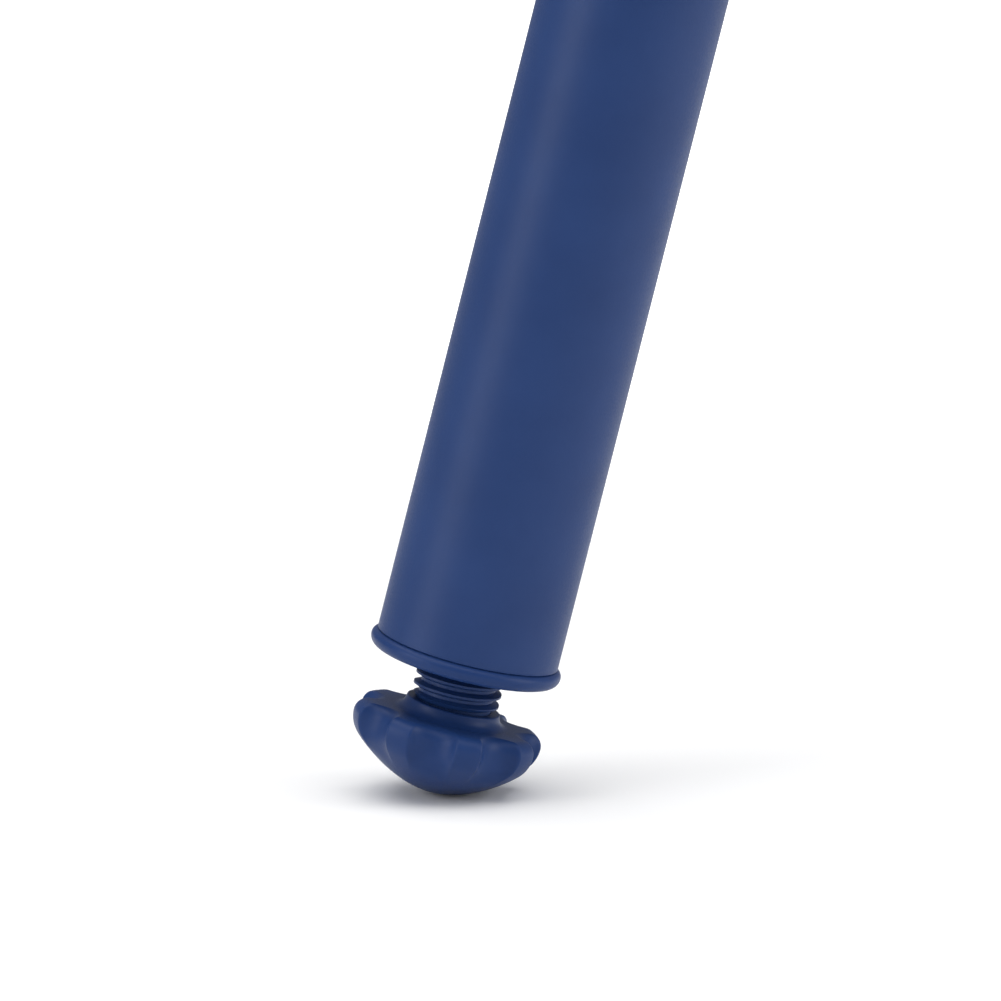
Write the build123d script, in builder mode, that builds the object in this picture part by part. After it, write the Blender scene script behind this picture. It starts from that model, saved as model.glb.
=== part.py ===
"""Splayed round furniture leg with a screw-adjusted levelling foot.

The leg hangs from a mounting face at z = 0 and leans in the XZ plane: its head is at
the origin and its foot is down and towards -X. Every turned piece is a profile on the
meridian plane, with x measured out from the leg's axis and y up along it from the
tube's lower end, so a height below the tube's end is negative.
"""

import os
from math import cos, radians, sin, sqrt

from build123d import *

os.makedirs("parts", exist_ok=True)

# ---- driving dimensions, in millimetres and degrees ---------------------------------
splay_angle = 14.0  # lean of the leg from the vertical
tube_diameter = 50.0
tube_wall = 2.5
tube_length = 380.0
tube_end_chamfer = 0.4

# mounting head: a plate, a collar above the tube, and a spigot inside it
gasket_thickness = 2.0
plate_thickness = 8.0
plate_side = 110.0
plate_corner_radius = 14.0
plate_edge_rounding = 1.5
bolt_spacing = 80.0
bolt_hole_diameter = 9.0
collar_drop = 30.0  # along the axis, from the mounting face to the tube's upper end
collar_step = 1.2  # how far the collar stands proud of the tube
collar_edge_rounding = 1.0
spigot_length = 55.0
spigot_wall = 5.0
spigot_clearance = 0.1
gusset_thickness = 7.0
gusset_reach = 16.0  # how far a gusset runs out along the plate, past the collar
gusset_share = 0.75  # of the collar's depth below the plate, on its shallow side

# the two screws that hold the head in the tube
head_screw_diameter = 6.0
head_screw_length = 12.0
head_screw_head_diameter = 10.5
head_screw_head_height = 3.3
head_screw_head_taper = 20.0
head_screw_socket = 4.0
head_screw_drop = 22.0  # from the tube's upper end
hole_clearance = 0.3

# end plug
rim_overhang = 1.3  # how far the rim stands out past the tube
rim_thickness = 4.5
rim_upper_rounding = 1.8
rim_lower_rounding = 2.6
sleeve_margin = 3.0  # sleeve left above the travel stop's highest place
sleeve_relief = 0.6  # gap between the sleeve and the tube, between the grip ribs
grip_rib_count = 10
grip_rib_width = 3.0
sleeve_lead_in = 1.5

# thread between the stud and the bush
thread_diameter = 24.0
thread_pitch = 3.0
thread_depth = 1.8
thread_crest = 0.6  # width of the flat on the stud's crest
thread_foot = 2.6  # width of a thread at its root
thread_clearance = 0.2
thread_end_slope = 1.0
thread_bite = 0.4  # how far the ridge is sunk into the core

# threaded bush, pushed up into the plug as far as its hexagonal flange
bush_length = 24.0
bush_wall = 3.0
bush_flange_step = 0.8  # from the bush's outside to a flat of its flange
bush_flange_thickness = 3.0
push_fit = 0.02

# how far the foot stands out, and how far it can be screwed each way
exposed_thread = 11.2  # from the rim's lower face to the knob's hub, as it stands
travel_out = 15.0
travel_in = 10.5

# travel stop: a keyed washer that slides in the plug and can't turn
stop_thickness = 4.0
stop_overlap = 1.6  # how far the washer reaches out past the thread
stop_ear_width = 7.0
stop_ear_reach = 2.2
stop_seat = 2.2  # step on the stud that the washer's bore drops onto
key_clearance = 0.3
running_clearance = 0.08

# screw that keeps the travel stop on the stud
stop_screw_diameter = 6.0
stop_screw_length = 16.0
stop_screw_overlap = 2.0  # how far the screw's head reaches out past the washer's bore
stop_screw_head_height = 3.6
stop_screw_head_taper = 12.0
stop_screw_socket = 5.0
socket_depth = 2.2
drill_margin = 2.0

# lobed knob with a domed underside
lobe_count = 8
lobe_phase = 13.5  # angle of the first lobe from -Y, turning towards +X
knob_radius = 26.1
hub_wall = 0.9  # how far the hub reaches out past the thread
hub_height = 0.3
hub_flare = 3.1
shoulder_rounding = 3.7
belly_radius = 8.8
belly_sweep = 45.0
flank_radius = 14.6
flank_height = 5.5  # above the bottom of the dome, where the flank has that radius
knob_height = 24.8  # from the hub's top to the bottom of the dome
lobe_rounding = 1.5
lobe_margin = 0.2  # how far the lobes' outline stands outside the turned belly
flute_depth = 4.3  # from the knob's radius to the bottom of the flute between two lobes
flute_radius = 7.8

# the stud's lower end, moulded into the knob
stud_head_step = 1.8  # from the thread's root to a flat of the head
stud_head_thickness = 6.0
stud_shank_length = 9.0

# ---- what follows from them -----------------------------------------------------------
tube_radius = tube_diameter / 2
tube_bore = tube_radius - tube_wall
rim_radius = tube_radius + rim_overhang
thread_radius = thread_diameter / 2
root_radius = thread_radius - thread_depth
bush_radius = thread_radius + thread_clearance + bush_wall
bush_flange_half = bush_radius + bush_flange_step
bush_bottom = -rim_thickness
bush_top = bush_bottom + bush_length
stop_bottom = bush_top + travel_out
stop_top = stop_bottom + stop_thickness
stop_radius = thread_radius + stop_overlap
stop_hole_radius = root_radius - stop_seat
stud_head_half = root_radius + stud_head_step
sleeve_top = stop_top + travel_in + sleeve_margin
hub_top = -rim_thickness - exposed_thread
hub_radius = thread_radius + hub_wall
dome_bottom = hub_top - knob_height

leg_up = Vector(sin(radians(splay_angle)), 0, cos(radians(splay_angle)))
leg_out = Vector(cos(radians(splay_angle)), 0, -sin(radians(splay_angle)))
tube_end = leg_up * -(collar_drop + tube_length)
leg_axis = Axis(tube_end, leg_up)

# one plane holds the profiles of turned pieces, the other is square to the leg
meridian = Plane(origin=tube_end, x_dir=leg_out, z_dir=leg_out.cross(leg_up))
crosswise = Plane(origin=tube_end, x_dir=leg_out, z_dir=leg_up)


def turn(points, mode=Mode.ADD):
    """Revolve a closed outline of (radius, height) points about the leg's axis."""
    with BuildSketch(meridian) as outline:
        with BuildLine():
            Polyline(*points, close=True)
        make_face()
    revolve(outline.sketch, axis=leg_axis, mode=mode)


def wind_thread(root, crest, foot_width, crest_width, bottom, top):
    """Sweep one right-handed thread along the leg's axis, from height bottom to top.

    The winding starts a whole number of pitches below the bush, so that every thread
    made here is in step with every other one.
    """
    turns_below = int((bush_bottom - bottom) / thread_pitch) + 1
    start = tube_end + leg_up * (bush_bottom - turns_below * thread_pitch)
    with BuildLine():
        winding = Helix(
            pitch=thread_pitch,
            height=top - bush_bottom + turns_below * thread_pitch,
            radius=root,
            center=start,
            direction=leg_up,
        )
    first_point = winding @ 0
    outward = (first_point - start).normalized()
    with BuildSketch(Plane(origin=first_point, x_dir=outward, z_dir=winding % 0)) as profile:
        with BuildLine():
            Polyline(
                (-thread_bite, -foot_width / 2),
                (crest - root, -crest_width / 2),
                (crest - root, crest_width / 2),
                (-thread_bite, foot_width / 2),
                close=True,
            )
        make_face()
    sweep(profile.sketch, path=winding, is_frenet=True)


# ---- tube ---------------------------------------------------------------------------
screw_height = tube_length - head_screw_drop
screw_seat = sqrt(tube_radius**2 - (head_screw_head_diameter / 2 + hole_clearance) ** 2)
front = Plane(origin=tube_end + leg_up * screw_height, x_dir=leg_out, z_dir=(0, -1, 0))
back = Plane(origin=tube_end + leg_up * screw_height, x_dir=leg_out, z_dir=(0, 1, 0))

with BuildPart() as leg_tube:
    with BuildSketch(crosswise):
        Circle(tube_radius)
        Circle(tube_bore, mode=Mode.SUBTRACT)
    extrude(amount=tube_length)
    rims = leg_tube.edges().filter_by(GeomType.CIRCLE)
    chamfer(rims.filter_by(lambda rim: rim.radius > tube_bore + tube_wall / 2), tube_end_chamfer)
    for side in (front, back):
        with BuildSketch(side):
            Circle(head_screw_diameter / 2 + hole_clearance)
        extrude(amount=tube_diameter, mode=Mode.SUBTRACT)
        with BuildSketch(side.offset(screw_seat)):
            Circle(head_screw_head_diameter / 2 + hole_clearance)
        extrude(amount=tube_diameter, mode=Mode.SUBTRACT)

# ---- mounting head ------------------------------------------------------------------
plate_top = -gasket_thickness
plate_bottom = plate_top - plate_thickness
collar_radius = tube_radius + collar_step
spigot_radius = tube_bore - spigot_clearance
# gussets stop short of the tube, where the collar ends on its shallow side
gusset_drop = (collar_drop * cos(radians(splay_angle)) + plate_bottom) * gusset_share
gusset_half = collar_radius + gusset_reach

with BuildPart() as mount_head:
    with BuildSketch(crosswise.offset(tube_length)):
        Circle(collar_radius)
    extrude(amount=collar_drop)
    with BuildSketch(Plane.XY.offset(plate_top)):
        Rectangle(2 * plate_side, 2 * plate_side)
    extrude(amount=plate_side, mode=Mode.SUBTRACT)
    collar_rim = mount_head.edges().filter_by(GeomType.CIRCLE).sort_by(Axis.Z)[0]
    fillet(collar_rim, collar_edge_rounding)
    with BuildSketch(Plane.XY.offset(plate_bottom)):
        RectangleRounded(plate_side, plate_side, plate_corner_radius)
    extrude(amount=plate_thickness)
    fillet(mount_head.faces().sort_by(Axis.Z)[-1].edges(), plate_edge_rounding)
    for upright in (Plane.XZ, Plane.YZ):
        with BuildSketch(upright):
            with BuildLine():
                Polyline(
                    (-gusset_half, plate_bottom),
                    (gusset_half, plate_bottom),
                    (collar_radius / 2, plate_bottom - gusset_drop),
                    (-collar_radius / 2, plate_bottom - gusset_drop),
                    close=True,
                )
            make_face()
        extrude(amount=gusset_thickness / 2, both=True)
    with BuildSketch(crosswise.offset(tube_length - spigot_length)):
        Circle(spigot_radius)
    extrude(amount=spigot_length)
    with BuildSketch(crosswise.offset(tube_length - spigot_length)):
        Circle(spigot_radius - spigot_wall)
    extrude(amount=spigot_length, mode=Mode.SUBTRACT)
    with BuildSketch(front):
        Circle(head_screw_diameter / 2 + push_fit)
    extrude(amount=tube_radius, both=True, mode=Mode.SUBTRACT)
    with BuildSketch(Plane.XY.offset(plate_bottom)):
        with GridLocations(bolt_spacing, bolt_spacing, 2, 2):
            Circle(bolt_hole_diameter / 2)
    extrude(amount=plate_thickness, mode=Mode.SUBTRACT)

with BuildPart() as mount_gasket:
    with BuildSketch(Plane.XY.offset(plate_top)):
        RectangleRounded(plate_side, plate_side, plate_corner_radius)
        with GridLocations(bolt_spacing, bolt_spacing, 2, 2):
            Circle(bolt_hole_diameter / 2, mode=Mode.SUBTRACT)
    extrude(amount=gasket_thickness)

with BuildPart() as head_screws:
    for side in (front, back):
        with BuildSketch(side.offset(screw_seat)):
            Circle(head_screw_head_diameter / 2)
        extrude(amount=head_screw_head_height, taper=head_screw_head_taper)
        with BuildSketch(side.offset(screw_seat)):
            Circle(head_screw_diameter / 2)
        extrude(amount=-head_screw_length)
        with BuildSketch(side.offset(screw_seat + head_screw_head_height)):
            RegularPolygon(head_screw_socket / 2, 6, major_radius=False)
        extrude(amount=-socket_depth, mode=Mode.SUBTRACT)

# ---- end plug -----------------------------------------------------------------------
stop_bore_radius = stop_radius + key_clearance
keyway_radius = stop_radius + stop_ear_reach + key_clearance
keyway_width = stop_ear_width + 2 * key_clearance

with BuildPart() as foot_plug:
    with BuildSketch(meridian):
        with BuildLine():
            Polyline(
                (bush_radius + push_fit, -rim_thickness),
                (rim_radius, -rim_thickness),
                (rim_radius, 0),
                (tube_bore - sleeve_relief, 0),
                (tube_bore - sleeve_relief, sleeve_top),
                (stop_bore_radius, sleeve_top),
                (stop_bore_radius, bush_top),
                (bush_radius + push_fit, bush_top),
                close=True,
            )
        make_face()
    revolve(axis=leg_axis)
    rim_edges = foot_plug.edges().filter_by(GeomType.CIRCLE)
    rim_edges = rim_edges.filter_by(lambda edge: abs(edge.radius - rim_radius) < 0.01)
    fillet(rim_edges.sort_by(Axis.Z)[-1], rim_upper_rounding)
    fillet(rim_edges.sort_by(Axis.Z)[0], rim_lower_rounding)
    with BuildSketch(crosswise):
        with PolarLocations(tube_bore - grip_rib_width / 2, grip_rib_count):
            Rectangle(grip_rib_width, grip_rib_width)
        Circle(tube_bore - sleeve_relief * 2, mode=Mode.SUBTRACT)
    extrude(amount=sleeve_top - sleeve_lead_in)
    with BuildSketch(crosswise):
        Circle(rim_radius)
        Circle(tube_bore, mode=Mode.SUBTRACT)
    extrude(amount=sleeve_top, mode=Mode.SUBTRACT)
    with BuildSketch(crosswise.offset(bush_bottom)):
        RegularPolygon(bush_flange_half + push_fit, 6, major_radius=False)
    extrude(amount=bush_flange_thickness, mode=Mode.SUBTRACT)
    with BuildSketch(crosswise.offset(bush_top)):
        Circle(keyway_radius)
        with Locations((0, keyway_radius), (0, -keyway_radius)):
            Rectangle(keyway_width, 2 * keyway_radius, mode=Mode.INTERSECT)
    extrude(amount=sleeve_top - bush_top, mode=Mode.SUBTRACT)

# ---- threaded bush ------------------------------------------------------------------
with BuildPart() as tap:
    below = bush_bottom - 2 * thread_pitch
    above = bush_top + 2 * thread_pitch
    tap_root = root_radius + thread_clearance
    turn([(0, below), (tap_root, below), (tap_root, above), (0, above)])
    wind_thread(
        root=tap_root,
        crest=thread_radius + thread_clearance,
        foot_width=thread_foot + thread_clearance,
        crest_width=thread_crest + thread_clearance,
        bottom=below + thread_pitch,
        top=above - thread_pitch,
    )

with BuildPart() as thread_bush:
    turn([(0, bush_bottom), (bush_radius, bush_bottom), (bush_radius, bush_top), (0, bush_top)])
    with BuildSketch(crosswise.offset(bush_bottom)):
        RegularPolygon(bush_flange_half, 6, major_radius=False)
    extrude(amount=bush_flange_thickness)
    add(tap.part, mode=Mode.SUBTRACT)

# ---- stud ---------------------------------------------------------------------------
thread_top = stop_bottom - running_clearance
spigot_top = stop_top + running_clearance
neck_radius = stop_hole_radius - running_clearance
wide = thread_radius + thread_depth
slope = (wide - root_radius) / thread_end_slope

with BuildPart() as thread_blank:
    turn(
        [
            (0, hub_top - 2 * thread_pitch),
            (root_radius, hub_top - 2 * thread_pitch),
            (root_radius, thread_top + thread_pitch),
            (0, thread_top + thread_pitch),
        ]
    )
    wind_thread(
        root=root_radius,
        crest=thread_radius,
        foot_width=thread_foot,
        crest_width=thread_crest,
        bottom=hub_top,
        top=thread_top + thread_pitch,
    )

with BuildPart() as foot_stud:
    add(thread_blank.part)
    turn(
        [
            (0, hub_top),
            (root_radius, hub_top),
            (wide, hub_top + slope),
            (wide, thread_top - slope),
            (root_radius, thread_top),
            (0, thread_top),
        ],
        mode=Mode.INTERSECT,
    )
    with BuildSketch(crosswise.offset(thread_top)):
        Circle(neck_radius)
    extrude(amount=spigot_top - thread_top)
    with BuildSketch(crosswise.offset(hub_top)):
        Circle(root_radius)
    extrude(amount=-stud_shank_length)
    with BuildSketch(crosswise.offset(hub_top - stud_shank_length)):
        RegularPolygon(stud_head_half, 6, major_radius=False)
    extrude(amount=-stud_head_thickness)
    with BuildSketch(crosswise.offset(spigot_top)):
        Circle(stop_screw_diameter / 2 + push_fit)
    extrude(amount=-(stop_screw_length + drill_margin), mode=Mode.SUBTRACT)

# ---- lobed knob ---------------------------------------------------------------------
shoulder_top = hub_top - hub_height - hub_flare
belly_height = shoulder_top - shoulder_rounding
belly_centre = knob_radius - belly_radius
belly_end = (
    belly_centre + belly_radius * cos(radians(belly_sweep)),
    belly_height - belly_radius * sin(radians(belly_sweep)),
)

flute_centre = knob_radius - flute_depth + flute_radius
first_flute = lobe_phase + 180 / lobe_count - 90

with BuildPart() as foot_knob:
    with BuildSketch(meridian):
        with BuildLine():
            Polyline(
                (0, dome_bottom),
                (0, hub_top),
                (hub_radius, hub_top),
                (hub_radius, hub_top - hub_height),
            )
            CenterArc((hub_radius + hub_flare, hub_top - hub_height), hub_flare, 180, 90)
            Line(
                (hub_radius + hub_flare, shoulder_top),
                (knob_radius - shoulder_rounding, shoulder_top),
            )
            CenterArc((knob_radius - shoulder_rounding, belly_height), shoulder_rounding, 0, 90)
            CenterArc((belly_centre, belly_height), belly_radius, 0, -belly_sweep)
            Spline(
                belly_end,
                (flank_radius, dome_bottom + flank_height),
                (0, dome_bottom),
                tangents=[(-1, -1), (-1, 0)],
            )
        make_face()
    revolve(axis=leg_axis)
    with BuildSketch(crosswise.offset(dome_bottom)) as lobes:
        Circle(knob_radius + lobe_margin)
        with PolarLocations(flute_centre, lobe_count, start_angle=first_flute):
            Circle(flute_radius, mode=Mode.SUBTRACT)
        fillet(lobes.vertices(), lobe_rounding)
    extrude(amount=knob_height, mode=Mode.INTERSECT)
    with BuildSketch(crosswise.offset(hub_top)):
        Circle(root_radius + push_fit)
    extrude(amount=-stud_shank_length, mode=Mode.SUBTRACT)
    with BuildSketch(crosswise.offset(hub_top - stud_shank_length)):
        RegularPolygon(stud_head_half + push_fit, 6, major_radius=False)
    extrude(amount=-(stud_head_thickness + push_fit), mode=Mode.SUBTRACT)

# ---- travel stop and its screw --------------------------------------------------------
with BuildPart() as travel_stop:
    with BuildSketch(crosswise.offset(stop_bottom)):
        Circle(stop_radius + stop_ear_reach)
        Rectangle(stop_ear_width, 3 * stop_radius, mode=Mode.INTERSECT)
        Circle(stop_radius)
        Circle(stop_hole_radius, mode=Mode.SUBTRACT)
    extrude(amount=stop_thickness)

with BuildPart() as stop_screw:
    with BuildSketch(crosswise.offset(spigot_top)):
        Circle(stop_hole_radius + stop_screw_overlap)
    extrude(amount=stop_screw_head_height, taper=stop_screw_head_taper)
    with BuildSketch(crosswise.offset(spigot_top)):
        Circle(stop_screw_diameter / 2)
    extrude(amount=-stop_screw_length)
    with BuildSketch(crosswise.offset(spigot_top + stop_screw_head_height)):
        RegularPolygon(stop_screw_socket / 2, 6, major_radius=False)
    extrude(amount=-socket_depth, mode=Mode.SUBTRACT)

# ---- names and files ------------------------------------------------------------------
leg_tube.part.label = "leg_tube"
mount_head.part.label = "mount_head"
mount_gasket.part.label = "mount_gasket"
head_screws.part.label = "head_screws"
foot_plug.part.label = "foot_plug"
thread_bush.part.label = "thread_bush"
foot_stud.part.label = "foot_stud"
foot_knob.part.label = "foot_knob"
travel_stop.part.label = "travel_stop"
stop_screw.part.label = "stop_screw"

export_step(leg_tube.part, "parts/leg_tube.step")
export_step(mount_head.part, "parts/mount_head.step")
export_step(mount_gasket.part, "parts/mount_gasket.step")
export_step(head_screws.part, "parts/head_screws.step")
export_step(foot_plug.part, "parts/foot_plug.step")
export_step(thread_bush.part, "parts/thread_bush.step")
export_step(foot_stud.part, "parts/foot_stud.step")
export_step(foot_knob.part, "parts/foot_knob.step")
export_step(travel_stop.part, "parts/travel_stop.step")
export_step(stop_screw.part, "parts/stop_screw.step")

print("tube's lower end", tuple(round(value, 3) for value in tube_end))
print("bottom of the dome, along the leg", round(collar_drop + tube_length - dome_bottom, 3))
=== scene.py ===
# %% [markdown]
# # Splayed furniture leg with levelling foot
#
# The object is one leg of a piece of garden furniture: a blue powder-coated tube that
# leans fourteen degrees, a plug in its lower end, and a foot that screws in and out of
# the plug to level the furniture. A plate on top bolts it to the frame above.
#
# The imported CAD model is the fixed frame. The leg hangs from its mounting face at z = 0,
# its head is at the origin and its foot is down and towards -X. Lengths are in metres.

import bpy
import numpy as np
from mathutils import Matrix, Vector


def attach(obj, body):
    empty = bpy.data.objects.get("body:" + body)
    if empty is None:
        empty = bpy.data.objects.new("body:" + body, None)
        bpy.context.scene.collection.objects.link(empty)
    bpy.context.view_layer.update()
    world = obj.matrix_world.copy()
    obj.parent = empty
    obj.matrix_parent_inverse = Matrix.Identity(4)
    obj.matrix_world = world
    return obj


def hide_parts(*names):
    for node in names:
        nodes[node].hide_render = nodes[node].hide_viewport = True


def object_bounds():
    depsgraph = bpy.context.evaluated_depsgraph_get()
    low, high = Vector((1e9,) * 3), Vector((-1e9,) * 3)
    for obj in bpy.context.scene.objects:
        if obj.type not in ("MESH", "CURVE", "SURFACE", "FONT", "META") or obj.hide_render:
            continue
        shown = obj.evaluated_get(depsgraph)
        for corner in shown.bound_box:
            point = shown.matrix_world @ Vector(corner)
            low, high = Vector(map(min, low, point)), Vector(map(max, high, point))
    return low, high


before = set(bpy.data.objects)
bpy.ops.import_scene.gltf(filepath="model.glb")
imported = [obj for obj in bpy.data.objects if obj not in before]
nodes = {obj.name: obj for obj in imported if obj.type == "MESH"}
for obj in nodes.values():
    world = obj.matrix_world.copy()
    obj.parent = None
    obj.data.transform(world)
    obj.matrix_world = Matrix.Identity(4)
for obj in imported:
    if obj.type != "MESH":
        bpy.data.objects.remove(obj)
cad_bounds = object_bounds()


def rounded(box):
    """The two corners of a box, to a tenth of a millimetre."""
    return [tuple(round(value, 4) for value in corner) for corner in box]


print("nodes", sorted(nodes))
print("bounds of the frame", rounded(cad_bounds))

# %% [markdown]
# ## The leg's own axes
#
# Every turned piece shares the tube's axis, so it is simplest to place points by a height
# along it, a radius and an angle round it. Heights are counted from the tube's lower end,
# up the leg. Angle zero faces the viewer and grows towards +X.
#
# The other way would be to model upright and turn the piece afterwards. Then the piece
# would carry a turn of its own, and its place would no longer be in its vertices.

# %%
SPLAY = np.radians(14.0)
HEAD_TO_TUBE_END = 0.410

leg_up = np.array([np.sin(SPLAY), 0.0, np.cos(SPLAY)])
leg_out = np.array([np.cos(SPLAY), 0.0, -np.sin(SPLAY)])
leg_front = np.array([0.0, -1.0, 0.0])
tube_end = -HEAD_TO_TUBE_END * leg_up
print("tube's lower end", tube_end.round(4))

# %% [markdown]
# ## Outlines for turned pieces
#
# A moulded knob is drawn as a half outline of arcs and one free curve. The arcs are the
# rounded edges that a mould needs. The free curve is the domed underside, which rolls on
# the floor when the leg isn't quite square to it. The points are then spaced evenly, so
# that the rings of the mesh are about the same height everywhere.


# %%
def arc(centre, radius, start, turn, count=24):
    """Points (cx + radius cos a, cy + radius sin a), a running through turn degrees."""
    a = np.radians(start + turn * np.linspace(0, 1, count))
    return np.stack([centre[0] + radius * np.cos(a), centre[1] + radius * np.sin(a)], axis=1)


def bezier(a, b, c, d, count=60):
    """Cubic Bezier: a (1-t)^3 + 3 b t (1-t)^2 + 3 c t^2 (1-t) + d t^3."""
    t = np.linspace(0, 1, count)[:, None]
    return a * (1 - t) ** 3 + 3 * b * t * (1 - t) ** 2 + 3 * c * t**2 * (1 - t) + d * t**3


def even(points, count):
    """The same polyline with its points evenly spaced along its length."""
    steps = np.linalg.norm(np.diff(points, axis=0), axis=1)
    along = np.concatenate([[0.0], np.cumsum(steps)])
    at = np.linspace(0.0, along[-1], count)
    return np.stack([np.interp(at, along, points[:, k]) for k in range(2)], axis=1)


print("a quarter arc has", len(arc((0, 0), 1, 0, 90)), "points")

# %% [markdown]
# ## Knob: the outline
#
# On the real foot the knob is moulded round the head of the stud. It has a low hub that
# flares into a flat top, a well rounded shoulder, a full belly to grip, and the dome.
# The inside follows the stud's shank and head, so the mesh is a closed shell.

# %%
HUB = 0.0129
HUB_TOP = -0.0157
HUB_WALL_HEIGHT = 0.0003
FLARE_RADIUS = 0.0031
SHOULDER_RADIUS = 0.0037
BELLY = 0.0261
BELLY_HEIGHT = -0.0228
BELLY_RADIUS = 0.0088
DOME_BOTTOM = -0.0405
DOME_SIDE_PULL = 0.0052
DOME_BOTTOM_PULL = 0.0085
STUD_BORE = 0.01025
HEAD_POCKET = 0.0140
HEAD_POCKET_TOP = -0.0246
HEAD_POCKET_BOTTOM = -0.03076
OUTLINE_POINTS = 170

belly_centre = np.array([BELLY - BELLY_RADIUS, BELLY_HEIGHT])
down_and_out = np.array([np.cos(np.pi / 4), -np.sin(np.pi / 4)])
belly_end = belly_centre + BELLY_RADIUS * down_and_out
dome = bezier(
    belly_end,
    belly_end + np.array([-DOME_SIDE_PULL, -DOME_SIDE_PULL]),
    np.array([DOME_BOTTOM_PULL, DOME_BOTTOM]),
    np.array([0.0, DOME_BOTTOM]),
)
pocket = [
    (0.0, HEAD_POCKET_BOTTOM),
    (HEAD_POCKET, HEAD_POCKET_BOTTOM),
    (HEAD_POCKET, HEAD_POCKET_TOP),
    (STUD_BORE, HEAD_POCKET_TOP),
    (STUD_BORE, HUB_TOP),
]
outline = np.concatenate(
    [
        pocket,
        [(HUB, HUB_TOP)],
        arc((HUB + FLARE_RADIUS, HUB_TOP - HUB_WALL_HEIGHT), FLARE_RADIUS, 180, 90),
        arc((BELLY - SHOULDER_RADIUS, BELLY_HEIGHT), SHOULDER_RADIUS, 90, -90),
        arc(belly_centre, BELLY_RADIUS, 0, -45)[1:],
        dome[1:],
    ]
)
outline = even(outline, OUTLINE_POINTS)
outline[0, 0] = 0.0
outline[-1] = (0.0, DOME_BOTTOM)
print("outline", len(outline), "points, widest", outline[:, 0].max().round(4))

# %% [markdown]
# ## Knob: the flutes
#
# Eight flutes for the fingers run down the belly, with broad lobes left between them.
# They could be cut with a boolean against eight cylinders. That leaves a hard lower
# edge on every flute, while a moulded flute dies away into the dome. So the turned
# outline is drawn in instead, by a smooth weight that is full at the belly and falls to
# nothing at the hub and down the dome.

# %%
LOBES = 8
LOBE_PHASE = np.radians(13.5)
FLUTE_DEPTH = 0.0043
FLUTE_RADIUS = 0.0078
FLUTE_CENTRE = BELLY - FLUTE_DEPTH + FLUTE_RADIUS
EDGE_SOFTNESS = 0.00028
FADE_FROM_RADIUS = 0.0165
FADE_OUTWARDS = 0.0065
FADE_DOWNWARDS = 0.0120


def smooth(x):
    """3 x^2 - 2 x^3, held at 0 and 1 outside that span."""
    x = np.clip(x, 0, 1)
    return x * x * (3 - 2 * x)


def belly_radii(angle):
    """Radius of the fluted belly at each angle.

    With d the angle from the middle of the nearest flute, the flute's wall is at
    w = c cos d - sqrt(f^2 - c^2 sin^2 d), c and f being the flute's centre and radius.
    The edge of the lobe is softened by -k ln(exp(-w/k) + exp(-belly/k)).
    """
    pitch = 2 * np.pi / LOBES
    d = (angle - LOBE_PHASE) % pitch - pitch / 2
    inside = FLUTE_RADIUS**2 - (FLUTE_CENTRE * np.sin(d)) ** 2
    near_wall = FLUTE_CENTRE * np.cos(d) - np.sqrt(np.maximum(inside, 0))
    wall = np.where(inside > 0, near_wall, 2 * BELLY)
    both = np.exp(-wall / EDGE_SOFTNESS) + np.exp(-BELLY / EDGE_SOFTNESS)
    return -EDGE_SOFTNESS * np.log(both)


def flute_weight(radius, height):
    """One at the belly, falling by the smooth step towards the hub and down the dome."""
    outwards = smooth((radius - FADE_FROM_RADIUS) / FADE_OUTWARDS)
    return outwards * smooth(1 - (BELLY_HEIGHT - height) / FADE_DOWNWARDS)


print("bottom of a flute", round(float(belly_radii(LOBE_PHASE + np.pi / LOBES)), 4))

# %% [markdown]
# ## Knob: the mesh
#
# The surface is a grid, with one ring of points for each point of the outline. Both ends
# of the outline are on the axis, and each end closes on a single point with a fan of
# triangles. The grid's quads are listed so that their normals point out of the solid.


# %%
TURN_STEPS = 480


def fluted_surface(outline, turns):
    """Vertices and faces of the knob: the outline's radius less (belly - fluted) weight."""
    angle = np.linspace(0, 2 * np.pi, turns, endpoint=False)
    radius, height = outline[1:-1, 0], outline[1:-1, 1]
    drawn_in = (BELLY - belly_radii(angle))[None, :] * flute_weight(radius, height)[:, None]
    r = radius[:, None] - drawn_in
    rings = (
        tube_end
        + height[:, None, None] * leg_up
        + (r * np.sin(angle))[..., None] * leg_out
        + (r * np.cos(angle))[..., None] * leg_front
    )
    poles = tube_end + outline[[0, -1], 1][:, None] * leg_up
    vertices = np.concatenate([rings.reshape(-1, 3), poles])
    rows = len(radius)
    i, j = np.meshgrid(np.arange(rows - 1), np.arange(turns), indexing="ij")
    k = (j + 1) % turns
    corners = [i * turns + j, (i + 1) * turns + j, (i + 1) * turns + k, i * turns + k]
    quads = np.stack(corners, axis=-1).reshape(-1, 4)
    j = np.arange(turns)
    k = (j + 1) % turns
    first = np.stack([np.full(turns, rows * turns), j, k], axis=-1)
    last = (rows - 1) * turns
    final = np.stack([last + j, np.full(turns, rows * turns + 1), last + k], axis=-1)
    return vertices.tolist(), quads.tolist() + first.tolist() + final.tolist()


vertices, faces = fluted_surface(outline, TURN_STEPS)
knob_mesh = bpy.data.meshes.new("knob_body")
knob_mesh.from_pydata(vertices, [], faces)
knob_mesh.update()
knob_mesh.polygons.foreach_set("use_smooth", np.ones(len(knob_mesh.polygons), dtype=bool))
knob = bpy.data.objects.new("knob_body", knob_mesh)
bpy.context.scene.collection.objects.link(knob)
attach(knob, "foot")
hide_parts("foot_knob")
print("knob", len(vertices), "vertices", len(faces), "faces")

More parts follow.
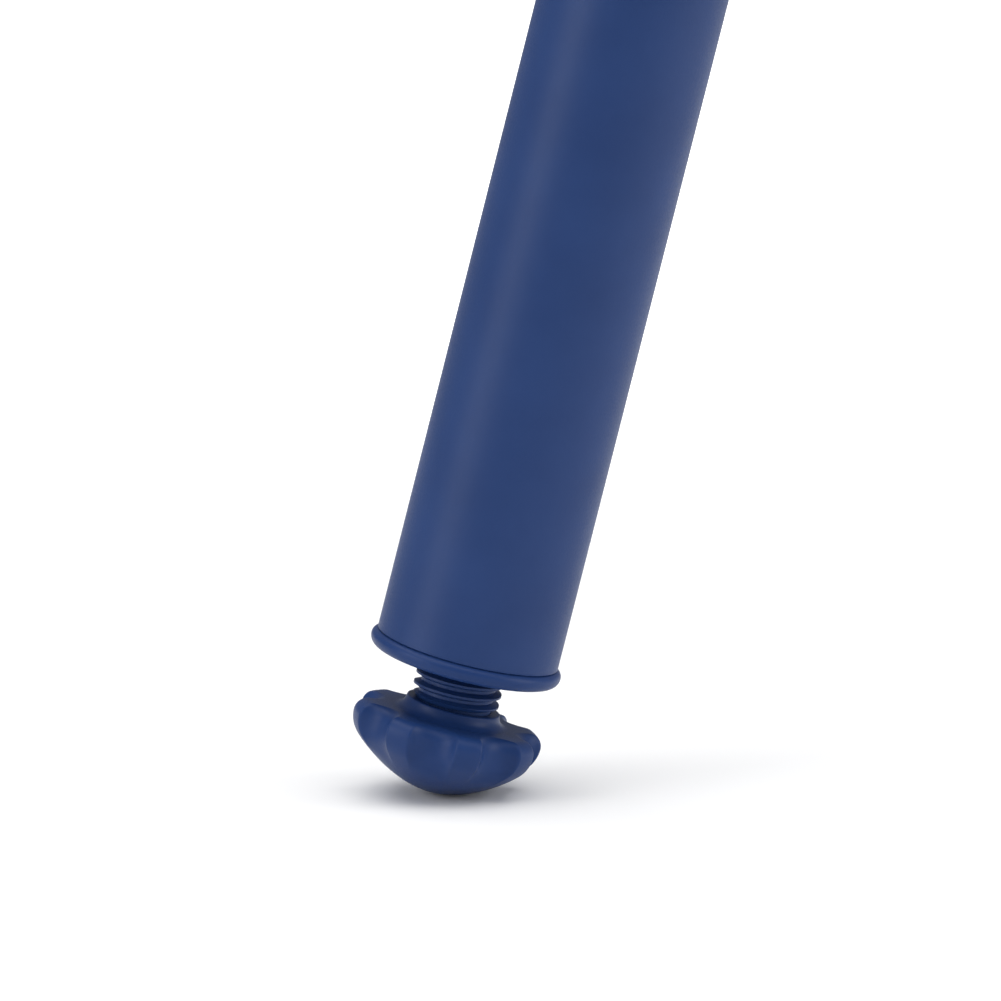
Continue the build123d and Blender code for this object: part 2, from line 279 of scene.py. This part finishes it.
# %% [markdown]
# ## A recipe for satin finishes
#
# The tube, head and stud are powder coated: the powder melts into a satin film with a
# very fine orange peel. The plug and knob are moulded in nylon of the same blue, whose
# spark-eroded skin is a little finer. Neither is one flat colour. The film's thickness
# and the resin's flow leave faint clouds, and the gloss wavers with the relief.
#
# All of that is one recipe with different numbers. Broad noise tints the colour, fine
# noise moves the roughness and lifts the surface by a few hundredths of a millimetre.
# The noise is read in object space, so it stays on a piece that turns with the foot.

# %%
CLOUD_SCALE = 45.0
NOISE_LOW = 0.3
NOISE_HIGH = 0.7
RELIEF_DEPTH = 0.0001


def noise(tree, place, scale, detail):
    """The grey value of a noise that is read in object space."""
    node = tree.nodes.new("ShaderNodeTexNoise")
    node.inputs["Scale"].default_value = scale
    node.inputs["Detail"].default_value = detail
    tree.links.new(place.outputs["Object"], node.inputs["Vector"])
    return node.outputs["Fac"]


def finish(name, dark, light, roughness, grain, bump, specular=0.5, metallic=0.0):
    """Base colour from broad noise, roughness and relief from fine noise."""
    material = bpy.data.materials.new(name)
    material.use_nodes = True
    tree = material.node_tree
    shader = tree.nodes["Principled BSDF"]
    place = tree.nodes.new("ShaderNodeTexCoord")
    cloud = noise(tree, place, CLOUD_SCALE, 5.0)
    fine = noise(tree, place, grain, 3.0)
    tint = tree.nodes.new("ShaderNodeValToRGB")
    for element, position, colour in zip(
        tint.color_ramp.elements, (NOISE_LOW, NOISE_HIGH), (dark, light)
    ):
        element.position = position
        element.color = (*colour, 1)
    gloss = tree.nodes.new("ShaderNodeMapRange")
    gloss.inputs["From Min"].default_value = NOISE_LOW
    gloss.inputs["From Max"].default_value = NOISE_HIGH
    gloss.inputs["To Min"].default_value = roughness[0]
    gloss.inputs["To Max"].default_value = roughness[1]
    relief = tree.nodes.new("ShaderNodeBump")
    relief.inputs["Strength"].default_value = bump
    relief.inputs["Distance"].default_value = RELIEF_DEPTH
    link = tree.links.new
    link(cloud, tint.inputs["Fac"])
    link(tint.outputs["Color"], shader.inputs["Base Color"])
    link(fine, gloss.inputs["Value"])
    link(gloss.outputs["Result"], shader.inputs["Roughness"])
    link(fine, relief.inputs["Height"])
    link(relief.outputs["Normal"], shader.inputs["Normal"])
    shader.inputs["Metallic"].default_value = metallic
    shader.inputs["Specular IOR Level"].default_value = specular
    return material


print("noise between", NOISE_LOW, "and", NOISE_HIGH, "is spread over each finish")

# %% [markdown]
# ## The five finishes
#
# Both blues are deep and take little white gloss, or the sides of the tube would turn
# grey. The bush and the travel stop are black nylon, the gasket is matt rubber, and the
# screws are stainless steel. Each piece of the frame then gets its own finish.

# %%
powder = finish(
    "powder_coat",
    dark=(0.0115, 0.036, 0.132),
    light=(0.0145, 0.042, 0.148),
    roughness=(0.38, 0.50),
    grain=1700.0,
    bump=0.20,
    specular=0.22,
)
blue = finish(
    "blue_moulding",
    dark=(0.0110, 0.034, 0.128),
    light=(0.0140, 0.040, 0.142),
    roughness=(0.34, 0.46),
    grain=2300.0,
    bump=0.12,
    specular=0.17,
)
black = finish(
    "black_moulding",
    dark=(0.006, 0.008, 0.016),
    light=(0.010, 0.013, 0.024),
    roughness=(0.45, 0.60),
    grain=1500.0,
    bump=0.15,
    specular=0.25,
)
rubber = finish(
    "gasket_rubber",
    dark=(0.016, 0.016, 0.017),
    light=(0.024, 0.024, 0.025),
    roughness=(0.70, 0.85),
    grain=900.0,
    bump=0.35,
    specular=0.30,
)
steel = finish(
    "stainless",
    dark=(0.50, 0.49, 0.47),
    light=(0.58, 0.57, 0.55),
    roughness=(0.22, 0.34),
    grain=1200.0,
    bump=0.10,
    metallic=1.0,
)

looks = {
    "leg_tube": powder,
    "mount_head": powder,
    "foot_stud": powder,
    "foot_plug": blue,
    "foot_knob": blue,
    "thread_bush": black,
    "travel_stop": black,
    "mount_gasket": rubber,
    "head_screws": steel,
    "stop_screw": steel,
}
for name, material in looks.items():
    nodes[name].data.materials.clear()
    nodes[name].data.materials.append(material)
knob_mesh.materials.append(blue)
print("finishes on", len(looks), "nodes and the knob")

# %% [markdown]
# ## Floor
#
# The leg stands on the lowest point of its dome. A wide pale sheet is enough: it bounces
# light under the knob and takes the soft shadow that shows where the foot touches.
#
# Screwing the foot out lifts the leg, and here the leg is the part that stays still. So
# the floor goes down and up with the travel stop, which slides with the foot and doesn't
# turn.

# %%
FLOOR_SPAN = 30.0
PAPER_WHITE = 0.93

floor_height = cad_bounds[0][2]
floor_mesh = bpy.data.meshes.new("floor")
sides = [(-1, -1), (1, -1), (1, 1), (-1, 1)]
corners = [(x * FLOOR_SPAN, y * FLOOR_SPAN, floor_height) for x, y in sides]
floor_mesh.from_pydata(corners, [], [(0, 1, 2, 3)])
floor = bpy.data.objects.new("floor", floor_mesh)
bpy.context.scene.collection.objects.link(floor)
paper = bpy.data.materials.new("paper")
paper.use_nodes = True
paper_shader = paper.node_tree.nodes["Principled BSDF"]
paper_shader.inputs["Base Color"].default_value = (PAPER_WHITE, PAPER_WHITE, PAPER_WHITE, 1)
paper_shader.inputs["Roughness"].default_value = 0.9
paper_shader.inputs["Specular IOR Level"].default_value = 0.1
floor_mesh.materials.append(paper)
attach(floor, "stop")
print("floor at z", round(floor_height, 4))

# %% [markdown]
# ## Floor: far from the foot
#
# The softboxes light only the floor near the foot. Further off a glow takes over, so that
# the paper stays pale out to the horizon. A bigger light could do it too, but it would
# wash over the leg. Only the camera sees this glow, and it starts beyond the shadow.

# %%
GLOW_STARTS = 0.25
GLOW_IS_FULL = 0.90
GLOW_STRENGTH = 0.75

paper_nodes = paper.node_tree.nodes
paper_shader.inputs["Emission Color"].default_value = (1, 1, 1, 1)
floor_place = paper_nodes.new("ShaderNodeTexCoord")
from_foot = paper_nodes.new("ShaderNodeVectorMath")
from_foot.operation = "DISTANCE"
from_foot.inputs[1].default_value = (float(tube_end[0]), 0.0, floor_height)
far_off = paper_nodes.new("ShaderNodeMapRange")
far_off.interpolation_type = "SMOOTHSTEP"
far_off.inputs["From Min"].default_value = GLOW_STARTS
far_off.inputs["From Max"].default_value = GLOW_IS_FULL
far_off.inputs["To Max"].default_value = GLOW_STRENGTH
floor_rays = paper_nodes.new("ShaderNodeLightPath")
glow = paper_nodes.new("ShaderNodeMath")
glow.operation = "MULTIPLY"
paper_link = paper.node_tree.links.new
paper_link(floor_place.outputs["Object"], from_foot.inputs[0])
paper_link(from_foot.outputs["Value"], far_off.inputs["Value"])
paper_link(far_off.outputs["Result"], glow.inputs[0])
paper_link(floor_rays.outputs["Is Camera Ray"], glow.inputs[1])
paper_link(glow.outputs["Value"], paper_shader.inputs["Emission Strength"])
print("glow from", GLOW_STARTS, "to", GLOW_IS_FULL, "m from the foot")

# %% [markdown]
# ## Light
#
# A satin tube is read by what it mirrors. With one light in front it would be brightest
# down its middle. This one is darkest there and brighter towards both edges, so it
# stands between two tall softboxes, with a wide one overhead that keeps the floor white.


# %%
AIM_HEIGHT = 0.03

aim = Vector((tube_end + AIM_HEIGHT * leg_up).tolist())


def softbox(name, azimuth, elevation, distance, width, height, power):
    """An area light aimed at the foot. Azimuth 0 is the viewer's side, positive to the right."""
    data = bpy.data.lights.new(name, "AREA")
    data.shape = "RECTANGLE"
    data.size = width
    data.size_y = height
    data.energy = power
    lamp = bpy.data.objects.new(name, data)
    bpy.context.scene.collection.objects.link(lamp)
    a, e = np.radians(azimuth), np.radians(elevation)
    away = Vector((np.sin(a) * np.cos(e), -np.cos(a) * np.cos(e), np.sin(e)))
    lamp.location = aim + away * distance
    lamp.rotation_euler = away.to_track_quat("Z", "Y").to_euler()
    lamp.visible_camera = False
    print(name, "at", [round(value, 2) for value in lamp.location])


softbox("left_softbox", -64, 16, distance=1.6, width=0.9, height=1.4, power=11.5)
softbox("right_softbox", 80, 14, distance=1.6, width=1.0, height=1.4, power=13.0)
softbox("top_softbox", 0, 88, distance=1.8, width=2.6, height=2.6, power=44.0)

# %% [markdown]
# ## Light: the room
#
# The rest of the room is a dim even white that fills the shadows. The camera sees it as a
# white backdrop, because a room bright enough to look white would flatten the tube.

# %%
ROOM_LIGHT = 0.30
BACKDROP_WHITE = 1.0

world = bpy.data.worlds.new("studio")
world.use_nodes = True
world_nodes = world.node_tree.nodes
background = world_nodes["Background"]
background.inputs["Color"].default_value = (1, 1, 1, 1)
backdrop = world_nodes.new("ShaderNodeMapRange")
backdrop.inputs["To Min"].default_value = ROOM_LIGHT
backdrop.inputs["To Max"].default_value = BACKDROP_WHITE
world_rays = world_nodes.new("ShaderNodeLightPath")
world_link = world.node_tree.links.new
world_link(world_rays.outputs["Is Camera Ray"], backdrop.inputs["Value"])
world_link(backdrop.outputs["Result"], background.inputs["Strength"])
bpy.context.scene.world = world
bpy.context.scene.view_settings.view_transform = "Standard"
print("room", ROOM_LIGHT, "backdrop", BACKDROP_WHITE)

# %% [markdown]
# ## Camera
#
# It looks along +Y from a little above the foot, with a long lens from far off, so that
# the tube's two edges stay almost parallel. The tube runs out of the picture at the top.

# %%
CAMERA_TILT = np.radians(10.64)
CAMERA_DISTANCE = 2.75
FOCAL_LENGTH = 366.8
RIGHT_OF_TUBE_END = 0.00884
ABOVE_TUBE_END = 0.0399

camera_up = np.array([0.0, np.sin(CAMERA_TILT), np.cos(CAMERA_TILT)])
camera_back = np.array([0.0, -np.cos(CAMERA_TILT), np.sin(CAMERA_TILT)])
camera_right = np.array([1.0, 0.0, 0.0])
target = tube_end + RIGHT_OF_TUBE_END * camera_right + ABOVE_TUBE_END * camera_up
stand = target + CAMERA_DISTANCE * camera_back
lens = bpy.data.cameras.new("camera")
lens.sensor_width = 36.0
lens.lens = FOCAL_LENGTH
lens.clip_start = 0.1
lens.clip_end = 100.0
camera = bpy.data.objects.new("camera", lens)
bpy.context.scene.collection.objects.link(camera)
axes = np.stack([camera_right, camera_up, camera_back], axis=1)
camera.matrix_world = Matrix.Translation(Vector(stand.tolist())) @ Matrix(axes.tolist()).to_4x4()
bpy.context.scene.camera = camera
print("camera at", stand.round(3))
